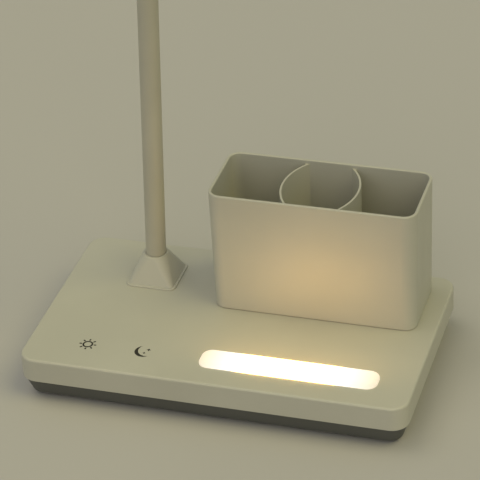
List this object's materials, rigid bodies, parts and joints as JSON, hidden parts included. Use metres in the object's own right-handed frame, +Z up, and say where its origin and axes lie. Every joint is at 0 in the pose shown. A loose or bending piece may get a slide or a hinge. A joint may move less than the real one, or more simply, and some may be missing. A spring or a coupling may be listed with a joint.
{
  "type": "desk lamp with organizer",
  "caption": "White desk lamp on a flat base with a night-light strip, touch marks, a divided pen organizer and a slim light bar on a flexible neck.",
  "frame": {"origin": "on the desk, below the middle of the base", "axes": "+X to the right along the base's front edge, +Y to the back, +Z up"},
  "size_m": [0.19, 0.2825, 0.3526],
  "materials": {
    "white_plastic": "satin moulded",
    "dark_plastic": "fine matte texture",
    "sleeve": "smooth satin",
    "night_light": "frosted, lit",
    "diffuser": "frosted",
    "steel": "zinc plated",
    "lead": "smooth",
    "foot_rubber": "matte",
    "board": "solder mask",
    "metal_board": "white coated",
    "emitter": "phosphor",
    "chip": "moulded",
    "contact": "plated",
    "inlet": "moulded"
  },
  "bodies": {
    "base": {"base_cover": "white_plastic", "base_tray": "dark_plastic", "ballast_plate": "steel", "ballast_screws": "steel", "base_screws": "steel", "foot_front_left": "foot_rubber", "foot_front_right": "foot_rubber", "foot_rear_left": "foot_rubber", "foot_rear_right": "foot_rubber", "night_light_lens": "night_light", "night_light_reflector": "white_plastic", "night_light_board": "board", "night_light_leds": "emitter", "night_light_screws": "steel", "control_board": "board", "board_chips": "chip", "board_screws": "steel", "touch_contacts": "contact", "power_inlet": "inlet", "neck_ferrule": "steel", "neck_spreader": "steel", "neck_nut": "steel", "neck_boot": "white_plastic", "neck_sleeve_root": "sleeve", "neck_core_root": "steel", "neck_lead_root": "lead"},
    "neck_1": {"neck_sleeve_1": "sleeve", "neck_core_1": "steel", "neck_lead_1": "lead"},
    "neck_2": {"neck_sleeve_2": "sleeve", "neck_core_2": "steel", "neck_lead_2": "lead"},
    "neck_3": {"neck_sleeve_3": "sleeve", "neck_core_3": "steel", "neck_lead_3": "lead"},
    "neck_4": {"neck_sleeve_4": "sleeve", "neck_core_4": "steel", "neck_lead_4": "lead"},
    "neck_5": {"neck_sleeve_5": "sleeve", "neck_core_5": "steel", "neck_lead_5": "lead"},
    "neck_6": {"neck_sleeve_6": "sleeve", "neck_core_6": "steel", "neck_lead_6": "lead"},
    "neck_7": {"neck_sleeve_7": "sleeve", "neck_core_7": "steel", "neck_lead_7": "lead"},
    "head": {"neck_sleeve_8": "sleeve", "neck_core_8": "steel", "neck_lead_8": "lead", "head_cover": "white_plastic", "head_bezel": "white_plastic", "head_diffuser": "diffuser", "head_board": "metal_board", "head_leds": "emitter", "head_screws": "steel", "head_ferrule": "steel", "head_nut": "steel"},
    "organizer": {"organizer_box": "white_plastic"}
  },
  "joints": [
    {"name": "neck_bend_1", "type": "hinge", "parent": "base", "child": "neck_1", "pos_m": [-0.05046, 0.0273, 0.04824], "axis": [0.9992, 0, -0.041], "range_deg": [-22, 16]},
    {"name": "neck_bend_2", "type": "hinge", "parent": "neck_1", "child": "neck_2", "pos_m": [-0.04846, 0.0273, 0.09694], "axis": [0, -1, 0], "range_deg": [-20, 20]},
    {"name": "neck_bend_3", "type": "hinge", "parent": "neck_2", "child": "neck_3", "pos_m": [-0.04646, 0.0273, 0.14565], "axis": [0.9992, 0, -0.041], "range_deg": [-22, 16]},
    {"name": "neck_bend_4", "type": "hinge", "parent": "neck_3", "child": "neck_4", "pos_m": [-0.04446, 0.0273, 0.19436], "axis": [0, -1, 0], "range_deg": [-20, 20]},
    {"name": "neck_bend_5", "type": "hinge", "parent": "neck_4", "child": "neck_5", "pos_m": [-0.04247, 0.0273, 0.24307], "axis": [0.9992, 0, -0.041], "range_deg": [-22, 16]},
    {"name": "neck_bend_6", "type": "hinge", "parent": "neck_5", "child": "neck_6", "pos_m": [-0.04047, 0.02692, 0.29176], "axis": [-0.0046, -0.9937, -0.1121], "range_deg": [-20, 20]},
    {"name": "neck_bend_7", "type": "hinge", "parent": "neck_6", "child": "neck_7", "pos_m": [-0.03878, 0.00341, 0.33291], "axis": [0.9992, 0, -0.041], "range_deg": [-22, 12]},
    {"name": "neck_bend_8", "type": "hinge", "parent": "neck_7", "child": "head", "pos_m": [-0.03828, -0.0427, 0.34498], "axis": [-0.041, 0, -0.9992], "range_deg": [-20, 20]},
    {"name": "organizer_lift", "type": "slide", "parent": "base", "child": "organizer", "axis": [0, 0, 1], "range_m": [0, 0.07]}
  ]
}
